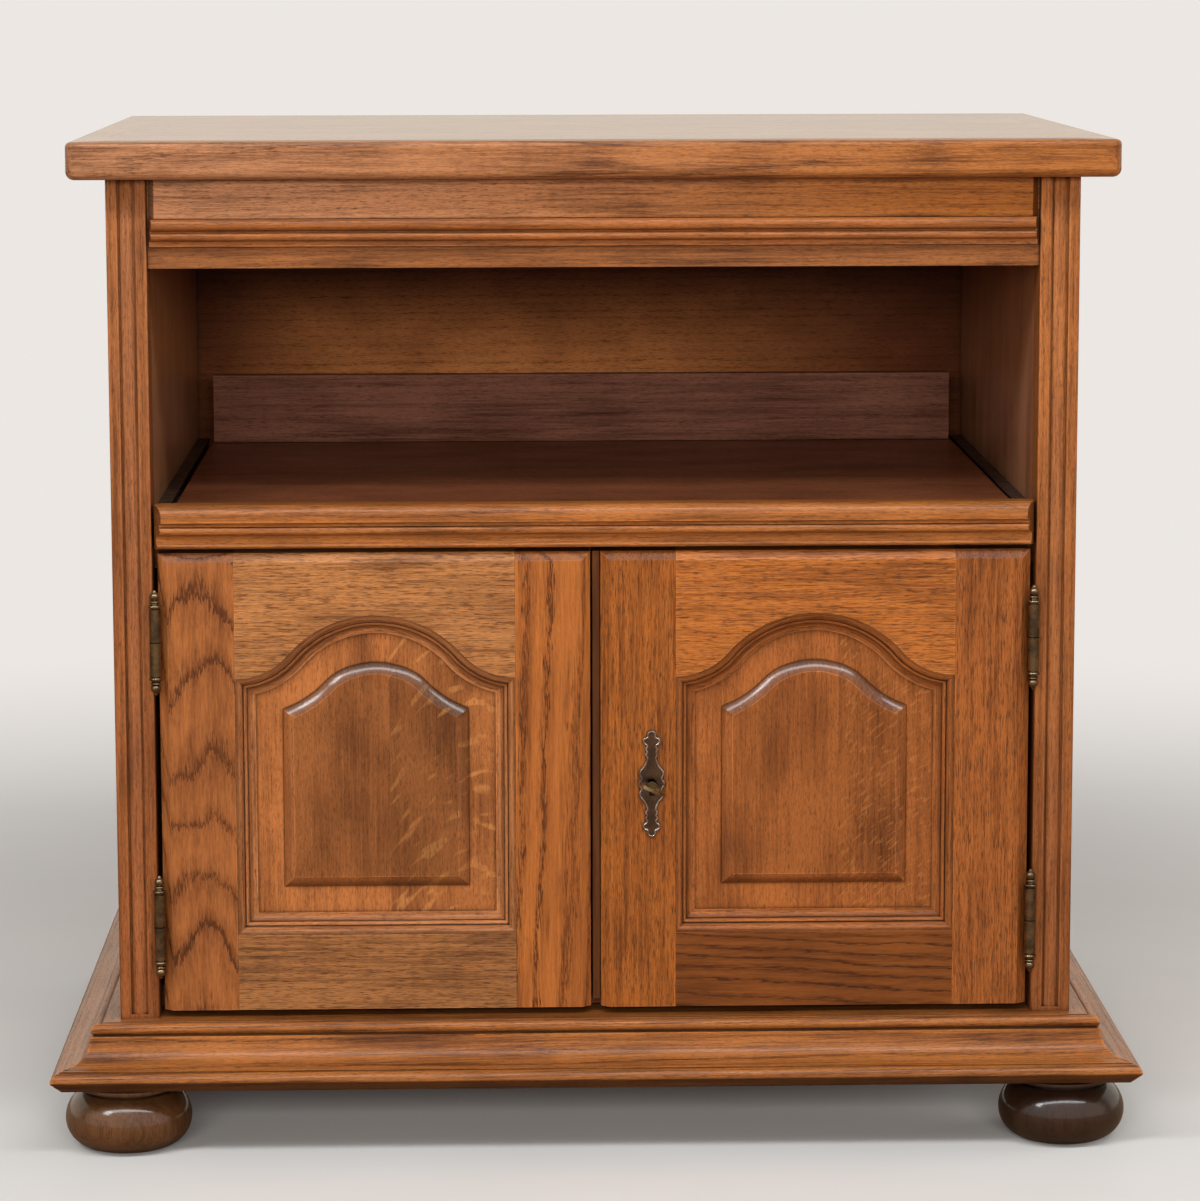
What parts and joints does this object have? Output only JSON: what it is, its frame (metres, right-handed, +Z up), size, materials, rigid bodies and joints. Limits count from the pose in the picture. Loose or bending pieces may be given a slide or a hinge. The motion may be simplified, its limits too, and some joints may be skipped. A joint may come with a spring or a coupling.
{
  "type": "television cabinet",
  "caption": "Stained oak television cabinet with an open bay over a pull-out shelf, arched raised-panel doors on finial hinges with a lock, fluted posts, moulded base and bun feet.",
  "frame": {"origin": "on the floor, in the middle of the overall width and of the overall depth", "axes": "+X to the right seen from the front, +Y to the back (the doors face -Y), +Z up"},
  "size_m": [0.857, 0.5936, 0.795],
  "materials": {
    "oak_frame": "satin stain",
    "oak_panel": "satin stain",
    "oak_top": "satin stain",
    "oak_base": "satin stain",
    "oak_inside": "satin stain",
    "foot_beech": "gloss stain",
    "strip_dark": "satin stain",
    "hinge_brass": "antique",
    "plate_bronze": "antique",
    "key_brass": "worn",
    "screw_brass": "worn",
    "lock_steel": "brushed",
    "runner_brown": "satin",
    "catch_plastic": "matte",
    "roller_nylon": "matte"
  },
  "bodies": {
    "carcass": {"top_panel": "oak_top", "top_front_lipping": "oak_top", "top_left_lipping": "oak_top", "top_right_lipping": "oak_top", "left_post": "oak_frame", "right_post": "oak_frame", "left_side_panel": "oak_frame", "right_side_panel": "oak_frame", "frieze_board": "oak_frame", "frieze_fascia": "oak_frame", "frieze_moulding": "oak_frame", "bottom_panel": "oak_inside", "fixed_deck": "oak_inside", "back_panel": "oak_inside", "base_front_moulding": "oak_base", "base_left_moulding": "oak_base", "base_right_moulding": "oak_base", "base_back_rail": "oak_base", "front_left_foot": "foot_beech", "front_right_foot": "foot_beech", "back_left_foot": "foot_beech", "back_right_foot": "foot_beech", "left_cabinet_runner": "runner_brown", "right_cabinet_runner": "runner_brown", "left_post_hinge_leaves": "hinge_brass", "right_post_hinge_leaves": "hinge_brass", "post_hinge_screws": "screw_brass", "left_door_catch": "catch_plastic"},
    "left_door": {"left_door_hinge_stile": "oak_frame", "left_door_meeting_stile": "oak_frame", "left_door_top_rail": "oak_frame", "left_door_bottom_rail": "oak_frame", "left_door_panel": "oak_panel", "left_door_panel_moulding": "oak_frame", "left_door_hinge_leaves": "hinge_brass", "left_door_hinge_screws": "screw_brass", "left_catch_plate": "lock_steel"},
    "right_door": {"right_door_hinge_stile": "oak_frame", "right_door_lock_stile": "oak_frame", "right_door_top_rail": "oak_frame", "right_door_bottom_rail": "oak_frame", "right_door_panel": "oak_panel", "right_door_panel_moulding": "oak_frame", "right_door_hinge_leaves": "hinge_brass", "right_door_hinge_screws": "screw_brass", "meeting_strip": "strip_dark", "lock_case": "lock_steel", "escutcheon": "plate_bronze", "escutcheon_pins": "screw_brass"},
    "shelf": {"shelf_panel": "oak_inside", "shelf_front_moulding": "oak_frame", "shelf_upstand": "oak_inside", "left_shelf_runner": "runner_brown", "right_shelf_runner": "runner_brown"},
    "key": {"key": "key_brass"},
    "lock_bolt": {"lock_bolt": "lock_steel"},
    "left_front_roller": {"left_front_roller": "roller_nylon"},
    "right_front_roller": {"right_front_roller": "roller_nylon"},
    "left_rear_roller": {"left_rear_roller": "roller_nylon"},
    "right_rear_roller": {"right_rear_roller": "roller_nylon"}
  },
  "joints": [
    {"name": "left_door_hinge", "type": "hinge", "parent": "carcass", "child": "left_door", "pos_m": [-0.344, -0.25015, 0.29115], "axis": [0, 0, -1], "range_deg": [0, 165]},
    {"name": "right_door_hinge", "type": "hinge", "parent": "carcass", "child": "right_door", "pos_m": [0.344, -0.25015, 0.29115], "axis": [0, 0, 1], "range_deg": [0, 165]},
    {"name": "shelf_slide", "type": "slide", "parent": "carcass", "child": "shelf", "axis": [0, -1, 0], "range_m": [0, 0.3]},
    {"name": "key_turn", "type": "hinge", "parent": "right_door", "child": "key", "pos_m": [0.044, -0.24425, 0.2888], "axis": [0, -1, 0], "range_deg": [0, 180]},
    {"name": "bolt_slide", "type": "slide", "parent": "right_door", "child": "lock_bolt", "axis": [-1, 0, 0], "range_m": [0, 0.014]},
    {"name": "left_front_roller_spin", "type": "hinge", "parent": "carcass", "child": "left_front_roller", "pos_m": [-0.336, -0.19725, 0.48925], "axis": [1, 0, 0], "range_deg": [0, 1911]},
    {"name": "left_rear_roller_spin", "type": "hinge", "parent": "shelf", "child": "left_rear_roller", "pos_m": [-0.336, 0.26175, 0.48925], "axis": [1, 0, 0], "range_deg": [0, 1911]},
    {"name": "right_front_roller_spin", "type": "hinge", "parent": "carcass", "child": "right_front_roller", "pos_m": [0.336, -0.19725, 0.48925], "axis": [1, 0, 0], "range_deg": [0, 1911]},
    {"name": "right_rear_roller_spin", "type": "hinge", "parent": "shelf", "child": "right_rear_roller", "pos_m": [0.336, 0.26175, 0.48925], "axis": [1, 0, 0], "range_deg": [0, 1911]}
  ],
  "couplings": [
    {"joint": "bolt_slide", "follows": "key_turn", "m_per_rad": 0.00445},
    {"joint": "left_front_roller_spin", "follows": "shelf_slide", "rad_per_m": 111.11},
    {"joint": "left_rear_roller_spin", "follows": "shelf_slide", "rad_per_m": 111.11},
    {"joint": "right_front_roller_spin", "follows": "shelf_slide", "rad_per_m": 111.11},
    {"joint": "right_rear_roller_spin", "follows": "shelf_slide", "rad_per_m": 111.11}
  ]
}
